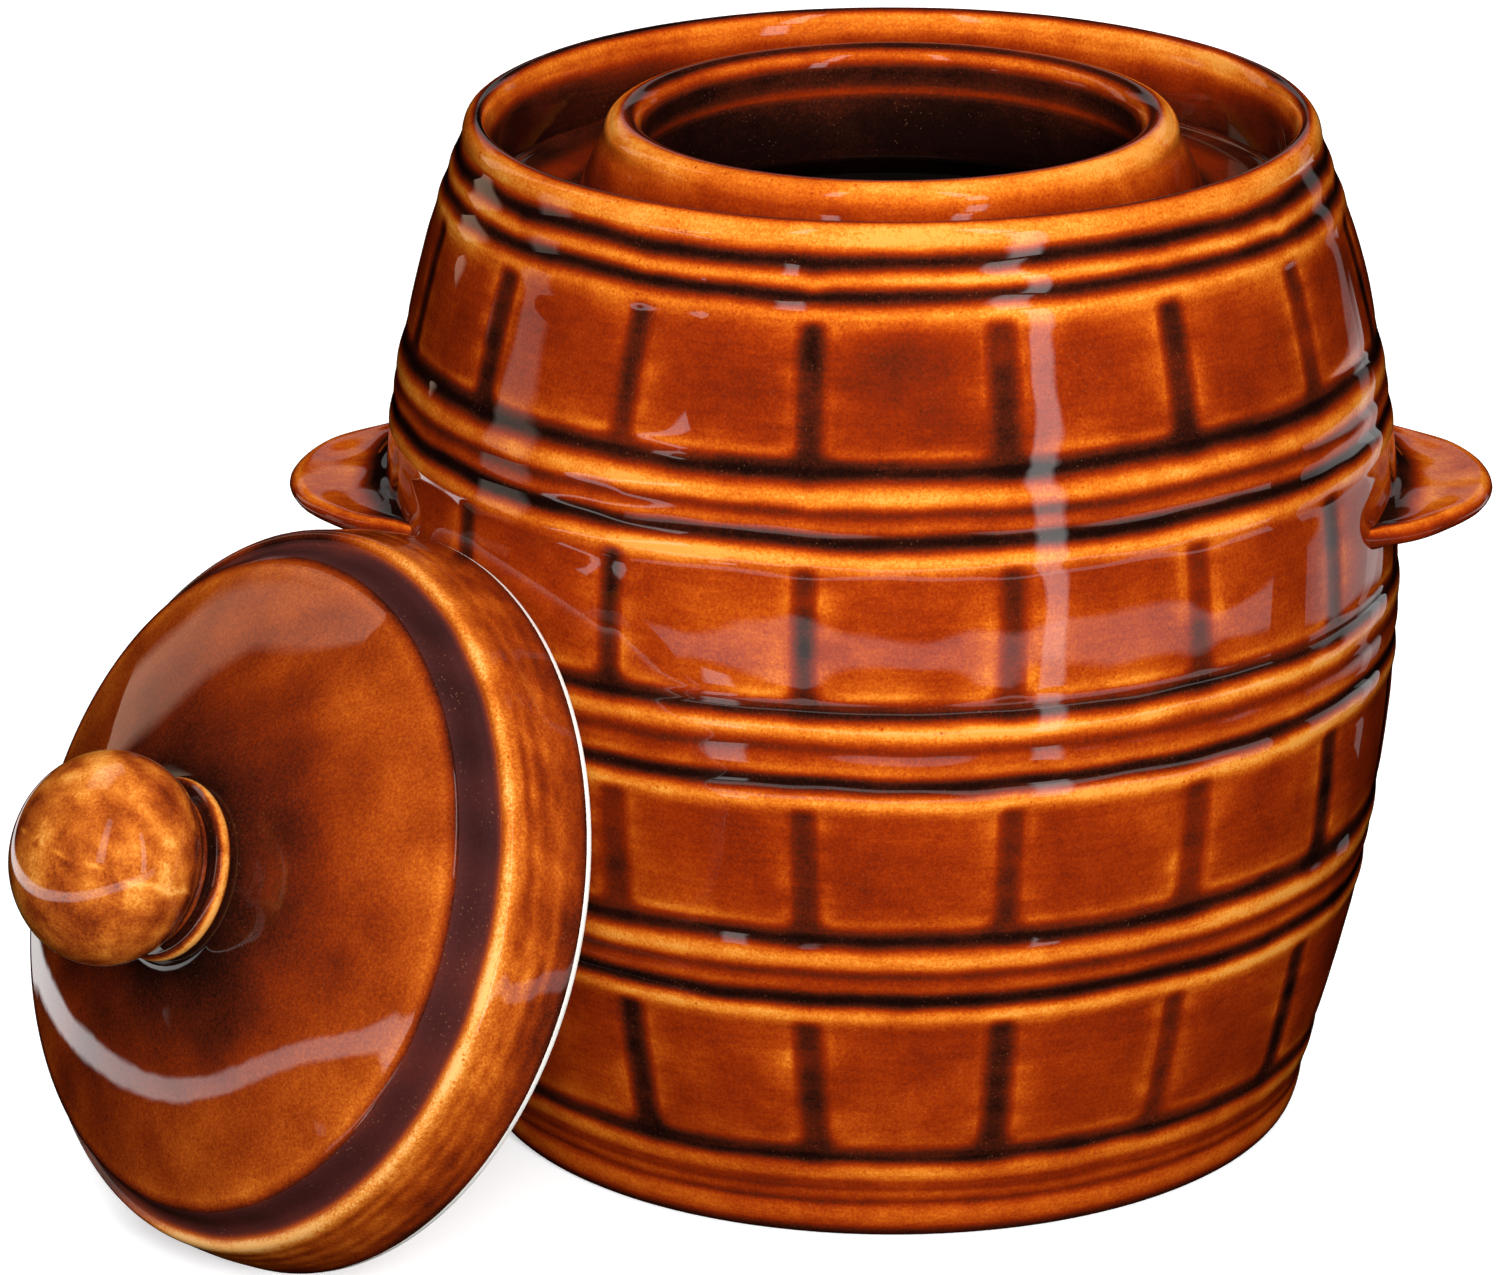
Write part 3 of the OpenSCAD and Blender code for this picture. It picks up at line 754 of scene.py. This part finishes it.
LEAN = Matrix.Translation(Vector((-118.6, -83.1, 74.4)) * MM) @ Matrix.Rotation(math.radians(-139.9), 4, "Z") @ Matrix.Rotation(math.radians(90 - 22.2), 4, "Y")
LID_R, RIDGE_R, RIDGE_H, LID_WALL, DOME_H, COVE_H, COLLAR_R = 81.0, 77.9, 21.5, 5.5, 46.8, 8.5, 19.8
KNOB_R, KNOB_H, KNOB_HALF = 23.1, 65.7, 18.9
DOME_EDGE = RIDGE_R - 8


def dome_z(r):
    k = np.clip((np.asarray(r, float) - COLLAR_R) / (DOME_EDGE - COLLAR_R), 0, 1)
    return DOME_H - (DOME_H - RIDGE_H - COVE_H) * (0.417 * k + 0.523 * k * k + 0.06 * (1 - np.exp(-12.5 * k)))


def dome_tone(r):
    return np.interp(r, [0, 18, 20.5, 23, 28, 36, 46, 56, 62, 66, 68.5, 70],
                     [0.1, 0.04, 0.05, 0.10, 0.16, 0.24, 0.37, 0.46, 0.49, 0.53, 0.62, 0.42])


lid_rows = [(4, DOME_H - LID_WALL, 0.35), (10, DOME_H - LID_WALL, 0.35)]
inner = DOME_EDGE - 5
# starts inside, on the axis, runs down to the free edge and back over the outside
inside = [(r, float(dome_z(r)) - LID_WALL, 0.36) for r in np.linspace(COLLAR_R, inner, 18)]
inside += [(inner + 2.6, RIDGE_H + 1, 0.3), (inner + 4.6, RIDGE_H - 2, 0.34), (inner + 6.2, RIDGE_H - 7, 0.42), (74.6, 9, 0.45), (LID_R - LID_WALL, 2, 0.6)]
edge_rows = [(LID_R - LID_WALL + 1.2, 0.4, 0.5), (LID_R - 3, 0.0, 0.5), (LID_R - 1.5, 0.1, 0.5), (LID_R - 0.7, 0.5, 0.5), (LID_R - 0.25, 1.0, 0.5), (LID_R - 0.04, 2.0, 0.5)]
skirt = [(LID_R, 2.4, 0.12), (LID_R, 3.2, 0.20), (LID_R - 0.1, 4.6, 0.28), (LID_R - 0.3, 7, 0.38), (LID_R - 0.6, 10, 0.47), (RIDGE_R + 2.0, 13, 0.52), (RIDGE_R + 1.5, RIDGE_H - 6.0, 0.53), (RIDGE_R + 1.15, RIDGE_H - 4.4, 0.57),
         (RIDGE_R + 0.9, RIDGE_H - 2.8, 0.66), (RIDGE_R + 0.65, RIDGE_H - 1.5, 0.80), (RIDGE_R + 0.3, RIDGE_H - 0.4, 0.98), (RIDGE_R - 0.5, RIDGE_H + 0.25, 0.96)]
cove = []
for a in (0, 8, 18, 28, 38, 48, 60):
    t = math.radians(a)
    cove.append((RIDGE_R - 1.4 - 4 * math.sin(t), RIDGE_H + 0.2 + 4 * (1 - math.cos(t)), np.interp(a, [0, 10, 25, 60], [0.88, 0.50, 0.14, 0.10])))
cove += [(RIDGE_R - 5.7, RIDGE_H + COVE_H - 3, 0.09), (RIDGE_R - 6.3, RIDGE_H + COVE_H - 1.6, 0.10), (RIDGE_R - 6.9, RIDGE_H + COVE_H - 0.7, 0.14)]
dome = [(r, float(dome_z(r)), float(dome_tone(r))) for r in np.linspace(DOME_EDGE, COLLAR_R, 64)]
top_rows = [(16, DOME_H, 0.1), (10, DOME_H, 0.1), (4, DOME_H, 0.1)]

in_part = dense(lid_rows + inside, 3.0)
ed_part = dense(edge_rows, 0.6)
out_part = dense(skirt + cove, 0.6)
out_part = relax(out_part, 2)
all_rows = np.concatenate([in_part, ed_part, out_part, dome, top_rows])
raw = np.zeros(len(all_rows), bool)
raw[len(in_part) - 1 : len(in_part) + len(ed_part) + 1] = True
all_rows[:, 2] = np.clip(all_rows[:, 2], 0, 1)
in_cove = (all_rows[:, 0] > RIDGE_R - 7.6) & (all_rows[:, 0] < RIDGE_R - 1.7) & (all_rows[:, 1] > RIDGE_H - 0.2) & (np.arange(len(all_rows)) > len(in_part) + len(ed_part))
lid_shift = waves(61, [(90, 0.10), (45, 0.035)])
lid_drift = waves(67, [(80, 0.07), (36, 0.07), (15, 0.06)])


def lid_shake(R, c, s, Z):
    outside = smooth(0.5, 6, Z) * smooth(22, 30, R)
    deep = np.minimum(lid_shift(R * c, R * s, Z) - 0.14, 0)
    return deep * 0.35 * outside * smooth(60, 76, R), deep * outside * (1 - smooth(66, 74, R))


throwing = [(k, ph, m, a) for k, ph, m, a in zip(np.random.default_rng(83).uniform(1.2, 2.6, 9), np.random.default_rng(84).uniform(0, 6.28, 9), (1, 2, 3, 2, 5, 4, 7, 3, 6), (1, 1, 0.9, 0.8, 0.7, 0.7, 0.5, 0.6, 0.5))]


skirt_patch = waves(89, [(30, 0.8), (13, 0.7), (6, 0.5)])


def lid_tones(X, Y, Z):
    """Drift all over, the glaze's runs along the skirt as the potter's wheel left them, and painted shade: one side of
    the dome, a patch beside the knob and the ridge on its far side are darker.
    """
    around = np.arctan2(Y, X)
    runs = sum(a * np.sin(k * Z + ph + 1.6 * np.sin(m * around + 2.1 * ph)) * np.cos(m * around * 1.0 + 3.3 * ph) for k, ph, m, a in throwing) / 2.2
    # painted shade: the ridge darker on its far side, one side of the dome darker, and a darker patch beside the knob
    away = smooth(-0.16, 0.24, -Y / np.maximum(np.hypot(X, Y), 1)) * smooth(74.5, 76.0, np.hypot(X, Y)) * smooth(RIDGE_H - 7, RIDGE_H - 3, Z)
    on_skirt = smooth(2.2, 4.5, Z) * (1 - smooth(RIDGE_H - 4.0, RIDGE_H - 1.5, Z)) * smooth(76, 78, np.hypot(X, Y))
    left_side = smooth(0.30, 0.95, (0.72 * X - 0.69 * Y) / np.maximum(np.hypot(X, Y), 1)) * smooth(44, 68, np.hypot(X, Y)) * smooth(RIDGE_H + 2, RIDGE_H + 8, Z)
    near_knob = np.exp(-(((np.hypot(X + 16, Y + 8)) / 26) ** 2)) * smooth(RIDGE_H + 2, RIDGE_H + 8, Z)
    return -0.26 * left_side - 0.10 * near_knob + lid_drift(X, Y, Z) * (1 - 0.4 * on_skirt) + 0.11 * runs * on_skirt + 0.10 * skirt_patch(X, Y, Z * 2.2) * on_skirt - 0.66 * away


lid_ob = lathe("lid", all_rows, 360, [lid_glaze, ground_edge, cove_glaze], start=DOME_H - LID_WALL, end=DOME_H, matrix=LEAN, shake=lid_shake, raw=raw, tone_shake=lid_tones, second=in_cove)
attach(lid_ob, "lid")
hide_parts("lid_dome")

STEM_R = 15.8
knob_rows = [(5, DOME_H, 0.1), (12, DOME_H, 0.1), (COLLAR_R - 1.4, DOME_H + 0.05, 0.06)]
# the collar's bead: amber where the glaze thins over it, raised at its crown as a painted highlight
for a in np.linspace(-62, 66, 14):
    t = math.radians(a)
    knob_rows.append((COLLAR_R - 2.2 + 2.2 * math.cos(t), DOME_H + 2.4 + 2.35 * math.sin(t), np.interp(a, [-62, -35, -15, 15, 35, 66], [0.06, 0.50, 0.96, 0.90, 0.30, 0.04])))
knob_rows += [(STEM_R + 0.3, DOME_H + 4.75, 0.03), (STEM_R + 0.1, DOME_H + 4.95, 0.03)]
for a in np.linspace(-60, 60, 9):
    t = math.radians(a)
    knob_rows.append((STEM_R + 0.6 + math.cos(t), DOME_H + 5.9 + math.sin(t), np.interp(a, [-60, 0, 60], [0.05, 0.34, 0.14])))
knob_rows.append((STEM_R + 0.8, DOME_H + 6.95, 0.06))
for a in np.linspace(-38, 86, 46):
    t = math.radians(a)
    groove = 0.22 * math.exp(-(((a + 24) / 1.8) ** 2))
    knob_rows.append(((KNOB_R - groove) * math.cos(t), KNOB_H + KNOB_HALF * math.sin(t), np.interp(a, [-38, -32, -24, -15, 10, 50, 90], [0.12, 0.36, 0.26, 0.56, 0.62, 0.60, 0.56])))
knob_shift = waves(71, [(30, 0.16), (15, 0.04)])


def knob_shake(R, c, s, Z):
    ball = smooth(DOME_H + 10, DOME_H + 18, Z)
    v = np.minimum(knob_shift(R * c, R * s, Z) - 0.35, 0) * ball
    return v * 0.5 * R / KNOB_R, v * 0.5 * (Z - KNOB_H) / KNOB_HALF


knob_patch = waves(91, [(22, 0.16), (10, 0.14), (5, 0.08)])


def knob_tones(X, Y, Z):
    """Mottled, with the thin pale line that the mould's seam left over the ball."""
    high = (Z - KNOB_H) / KNOB_HALF
    line = np.minimum(np.abs(Y * math.sin(math.radians(5)) - X * math.cos(math.radians(5)) - 1.2 + 0.5 * np.sin(Z * 0.7)), 9)
    seam = np.exp(-((line / 0.55) ** 2)) * smooth(-0.55, -0.3, high) * (0.55 + 0.45 * np.sin(Y * 0.9 + 1.0))
    return (knob_patch(X, Y, Z) - 0.02) * smooth(-0.8, -0.4, high) + 0.36 * seam


knob_ob = lathe("knob", np.array(knob_rows), 240, [knob_glaze], start=DOME_H, end=KNOB_H + KNOB_HALF - 0.15, matrix=LEAN, shake=knob_shake, tone_shake=knob_tones)
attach(knob_ob, "lid")
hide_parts("lid_knob")

# ------------------------------------------------------------------ weights


def weight(name, sign):
    """A half-moon slab with rounded edges, from a stack of outlines drawn in from its largest one."""
    big, hole, gap, corner, half = 51.0, 11.0, 1.0, 3.5, 150
    out_x = math.sqrt((big - corner) ** 2 - (gap + corner) ** 2)
    in_x = math.sqrt((hole + corner) ** 2 - (gap + corner) ** 2)
    out_a, in_a = math.atan2(gap + corner, out_x), math.atan2(gap + corner, in_x)

    def arc(x, r, start, end, count):
        return [(x + r * math.cos(t), (gap + corner if x else 0.0) + r * math.sin(t)) for t in np.linspace(start, end, count)]

    # the right half of the round side and of the side with the finger hole; each is mirrored for its left half
    outer = arc(out_x, corner, math.radians(-30), out_a, 12) + arc(0, big, out_a, math.pi / 2, 60)[1:]
    inner = arc(out_x, corner, math.radians(-30), math.radians(-90), 8) + [(x, gap) for x in np.linspace(out_x, in_x, 30)[1:]]
    inner += arc(in_x, corner, math.radians(270), math.pi + in_a, 14)[1:] + arc(0, hole, in_a, math.pi / 2, 24)[1:]

    def even(path):
        q = np.array(path)
        q = np.concatenate([q, (q * (-1, 1))[-2::-1]])
        d = np.concatenate([[0], np.cumsum(np.linalg.norm(np.diff(q, axis=0), axis=1))])
        t = (np.arange(half) + 0.5) / half * d[-1]
        return np.stack([np.interp(t, d, q[:, 0]), np.interp(t, d, q[:, 1])], -1)

    p = np.concatenate([even(outer), even(inner)[::-1]])
    tang = np.roll(p, -1, 0) - np.roll(p, 1, 0)
    tang /= np.linalg.norm(tang, axis=1)[:, None]
    inward = np.stack([-tang[:, 1], tang[:, 0]], -1)
    stack = [(10.0 + 3.0 - 3.0 * math.sin(math.radians(a)), 3.0 - 3.0 * math.cos(math.radians(a))) for a in np.linspace(90, 0, 7)]
    stack += [(27.0 - 3.0 + 3.0 * math.sin(math.radians(a)), 3.0 - 3.0 * math.cos(math.radians(a))) for a in np.linspace(0, 90, 7)]
    rows = []
    for z, inset in stack:
        q = p + inward * inset
        rows.append(np.column_stack([q[:, 0], q[:, 1] * 1.0, np.full(len(q), z)]))
    V = np.array(rows)
    n = V.shape[1]
    V[:, :, 1] *= sign
    nz = V.shape[0]
    i = np.arange(nz - 1)[:, None]
    j = np.arange(n)[None]
    j2 = (j + 1) % n
    quads = np.stack([i * n + j, i * n + j2, (i + 1) * n + j2, (i + 1) * n + j], -1).reshape(-1, 4)
    # the flat top and bottom run in strips from the round side to the side with the finger hole
    strip = np.array([(k, k + 1, n - 2 - k, n - 1 - k) for k in range(half - 1)])
    faces = [tuple(f) for f in np.concatenate([quads, strip[:, ::-1], strip + (nz - 1) * n])]
    if sign < 0:
        faces = [f[::-1] for f in faces]
    me = bpy.data.meshes.new(name)
    me.from_pydata([tuple(v * MM) for v in V.reshape(-1, 3)], [], faces)
    me.materials.append(weight_clay)
    me.polygons.foreach_set("use_smooth", np.ones(len(me.polygons), bool))
    me.update()
    ob = bpy.data.objects.new(name, me)
    SCENE.collection.objects.link(ob)
    return ob


for name, sign, body, old in (("weight_half_front", -1, "front_weight", "weight_front"), ("weight_half_back", 1, "back_weight", "weight_back")):
    half_moon = weight(name, sign)
    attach(half_moon, body)
    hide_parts(old)

# ------------------------------------------------------------------ stage and light


def stage_floor():
    me = bpy.data.meshes.new("floor")
    n, size = 24, 7.0
    xs = np.linspace(-size, size, n + 1)
    verts = [(x, y, 0.0) for y in xs for x in xs]
    faces = [(j * (n + 1) + i, j * (n + 1) + i + 1, (j + 1) * (n + 1) + i + 1, (j + 1) * (n + 1) + i) for j in range(n) for i in range(n)]
    me.from_pydata(verts, [], faces)
    m, t = new_material("floor_paper")
    coords = t.nodes.new("ShaderNodeTexCoord").outputs["Object"]
    tint = ramp(t, noise(t, coords, 3.0, 2.0), [(0.3, (0.93, 0.93, 0.93)), (0.7, (0.95, 0.95, 0.95))])
    shader = node(t, "ShaderNodeBsdfPrincipled", Roughness=0.9)
    shader.inputs["Specular IOR Level"].default_value = 0.0
    shader.inputs["Emission Color"].default_value = (1, 1, 1, 1)
    shader.inputs["Emission Strength"].default_value = 0.45
    t.links.new(tint, shader.inputs["Base Color"])
    out = t.nodes.new("ShaderNodeOutputMaterial")
    t.links.new(shader.outputs["BSDF"], out.inputs["Surface"])
    me.materials.append(m)
    me.update()
    ob = bpy.data.objects.new("floor", me)
    SCENE.collection.objects.link(ob)
    ob.visible_glossy = False
    ob.visible_diffuse = False
    return ob


stage_floor()


ball_only = bpy.data.collections.new("ball_only")
ball_only.objects.link(knob_ob)
not_ball = bpy.data.collections.new("not_ball")
not_ball.objects.link(knob_ob)
not_ball.collection_objects[0].light_linking.link_state = "EXCLUDE"


def ribbon(name, points, distance=3.0, centre=(0, 0, 0.12), colour=(1, 1, 1), seen_by=None):
    """A curved studio strip along (azimuth, elevation, half width, strength) points, seen only as a reflection."""
    p = np.array(points, float)
    along = np.linspace(0, len(p) - 1, 12 * (len(p) - 1) + 1)
    line = np.column_stack([np.interp(along, np.arange(len(p)), p[:, c]) for c in range(4)])
    for _ in range(6):
        line[1:-1] = 0.25 * line[:-2] + 0.5 * line[1:-1] + 0.25 * line[2:]
    step = np.gradient(line[:, :2], axis=0)
    step /= np.linalg.norm(step, axis=1)[:, None]
    across = np.stack([-step[:, 1], step[:, 0]], -1)
    cols = np.linspace(-1, 1, 13)
    n = len(cols)
    verts, power = [], []
    for i in range(len(line)):
        for v in cols:
            az, el = np.radians(line[i, :2] + across[i] * line[i, 2] * v)
            verts.append((centre[0] + distance * math.sin(az), centre[1] - distance * math.cos(az), centre[2] + distance * math.tan(el)))
            power.append(line[i, 3] * float(1 - smooth(0.62, 1.0, np.array(abs(v)))))
    faces = [(i * n + j, i * n + j + 1, (i + 1) * n + j + 1, (i + 1) * n + j) for i in range(len(line) - 1) for j in range(n - 1)]
    me = bpy.data.meshes.new(name)
    me.from_pydata(verts, [], faces)
    me.attributes.new("power", "FLOAT", "POINT").data.foreach_set("value", np.array(power, np.float32))
    m, t = new_material(name + "_light")
    strength = t.nodes.new("ShaderNodeAttribute")
    strength.attribute_name = "power"
    em = t.nodes.new("ShaderNodeEmission")
    em.inputs["Color"].default_value = (*colour, 1)
    t.links.new(strength.outputs["Fac"], em.inputs["Strength"])
    out = t.nodes.new("ShaderNodeOutputMaterial")
    clear, both = t.nodes.new("ShaderNodeBsdfTransparent"), t.nodes.new("ShaderNodeAddShader")
    t.links.new(em.outputs[0], both.inputs[0])
    t.links.new(clear.outputs[0], both.inputs[1])
    t.links.new(both.outputs[0], out.inputs["Surface"])
    me.materials.append(m)
    ob = bpy.data.objects.new(name, me)
    SCENE.collection.objects.link(ob)
    ob.visible_camera = False
    ob.visible_diffuse = False
    ob.visible_shadow = False
    ob.visible_transmission = False
    ob.light_linking.receiver_collection = seen_by or not_ball
    return ob


lid_middle = (-0.13, -0.09, 0.09)
ribbon("strip_right", [(34.5, -21, 4.6, 2.6), (35.0, -8, 4.6, 3.0), (35.0, 10, 4.6, 3.2), (34.5, 25.5, 4.6, 3.2)])
ribbon("strip_right_high", [(31, 28.5, 4.6, 3.0), (28, 56, 4.6, 3.0)])
ribbon("strip_left_low", [(-36.5, -23.5, 4.6, 2.2), (-36.5, -17.5, 4.6, 2.6)])
ribbon("strip_left_high", [(-25, 31.5, 4.6, 3.0), (-25, 56, 4.6, 3.0)])
ribbon("band_front", [(-62, -13.6, 2.0, 0.5), (-50, -13.4, 2.9, 1.2), (-20, -13.2, 3.2, 1.25), (20, -13.2, 3.2, 1.25), (60, -13.4, 3.2, 1.2), (92, -14, 3.2, 1.0)])
ribbon("wall_left", [(-134, 0, 5.0, 1.0), (-129.5, 7.5, 5.6, 1.0), (-126.5, 13.5, 7.0, 1.0), (-123, 21, 6.4, 1.05), (-118, 29.5, 5.2, 1.1), (-108, 38, 4.8, 1.4), (-101, 45, 4.2, 2.0)], colour=(1.0, 0.68, 0.48))
ribbon("veil_left", [(-98, -9, 7.5, 0.75), (-96, 1, 8.0, 0.85), (-95, 11, 8.0, 0.80)], colour=(1.0, 0.88, 0.76))
ribbon("arc_left", [(-147.8, -16.4, 1.2, 1.8), (-140.4, -17.3, 1.4, 2.2), (-125, -18.2, 1.5, 2.4), (-108.8, -18.3, 1.5, 2.4), (-98.9, -17.5, 1.5, 2.4), (-90.4, -15.9, 1.5, 2.3), (-82, -13.2, 1.5, 2.2), (-74.8, -9.6, 1.5, 2.1), (-64, -3.5, 1.7, 2.1), (-53, 1.8, 2.0, 2.3), (-46.8, 7.2, 2.2, 2.5)], centre=lid_middle)
ribbon("wall_right", [(106, -14, 5, 0.5), (124, -13, 6, 0.8), (146, -13, 7, 0.7)])
ribbon("edge_right", [(136, -22, 4, 0.30), (138, -4, 4, 0.30), (141, 12, 4, 0.22)])
# the ball's curve takes in the whole studio, so it has strips of its own, wide enough to read on it
ribbon("ball_low", [(-160, -8, 2.0, 0.8), (-145, -12, 3.4, 1.9), (-129, -14.5, 4.0, 2.5), (-107, -16, 4.6, 2.7), (-81, -17.2, 4.8, 2.7), (-53, -16, 4.8, 2.6), (-26, -10.7, 5.2, 2.4), (-3, -6, 5.4, 2.2), (28, -3.5, 5.4, 1.8), (46, 0, 4, 0.8)], distance=3.4, seen_by=ball_only)
ribbon("ball_left", [(-26, 16, 6.0, 1.9), (-26, 36, 6.0, 2.4), (-25, 58, 6.0, 1.4)], distance=3.2, seen_by=ball_only)
ribbon("ball_right", [(29, 2, 4.6, 2.2), (31, 20, 4.6, 2.6), (33, 44, 4.6, 1.6)], distance=3.2, seen_by=ball_only)
ribbon("ball_top", [(-178, 50, 12, 0.9), (-150, 60, 15, 1.8), (-110, 66, 12, 0.9)], distance=3.3, seen_by=ball_only, colour=(1.0, 0.92, 0.84))
ribbon("back_low", [(140, 21, 5, 0.25), (160, 21, 5, 0.32), (200, 21, 5, 0.32), (220, 21, 5, 0.25)])

world = bpy.data.worlds.new("world")
SCENE.world = world
world.use_nodes = True
wt = world.node_tree
wt.nodes.clear()
sky = wt.nodes.new("ShaderNodeBackground")
sky.inputs["Color"].default_value = (1, 1, 1, 1)
sky.inputs["Strength"].default_value = 0.11
wo = wt.nodes.new("ShaderNodeOutputWorld")
wt.links.new(sky.outputs[0], wo.inputs["Surface"])
world.cycles_visibility.glossy = False


def soft_light(name, place, target, size, power, glossy=False):
    data = bpy.data.lights.new(name, "AREA")
    data.shape = "RECTANGLE"
    data.size, data.size_y = size
    data.energy = power
    ob = bpy.data.objects.new(name, data)
    SCENE.collection.objects.link(ob)
    place = Vector(place)
    ob.location = place
    ob.rotation_euler = (Vector(target) - place).to_track_quat("-Z", "Y").to_euler()
    ob.visible_glossy = glossy
    ob.visible_camera = False
    return ob


soft_light("overhead", (0.1, -0.3, 2.4), (0.05, 0, 0), (2.6, 2.6), 31)
soft_light("key", (0.28, -2.3, 1.05), (0.0, 0, 0.11), (1.0, 1.0), 86)
soft_light("fill_left", (-1.6, -1.3, 0.9), (-0.05, 0, 0.12), (1.0, 1.0), 3)
soft_light("back_fill", (0.3, 1.8, 1.6), (0, 0, 0.12), (1.6, 1.2), 24)

view = SCENE.view_settings
view.view_transform = "Standard"
view.look = "None"
view.exposure = 0.0
view.gamma = 1.0
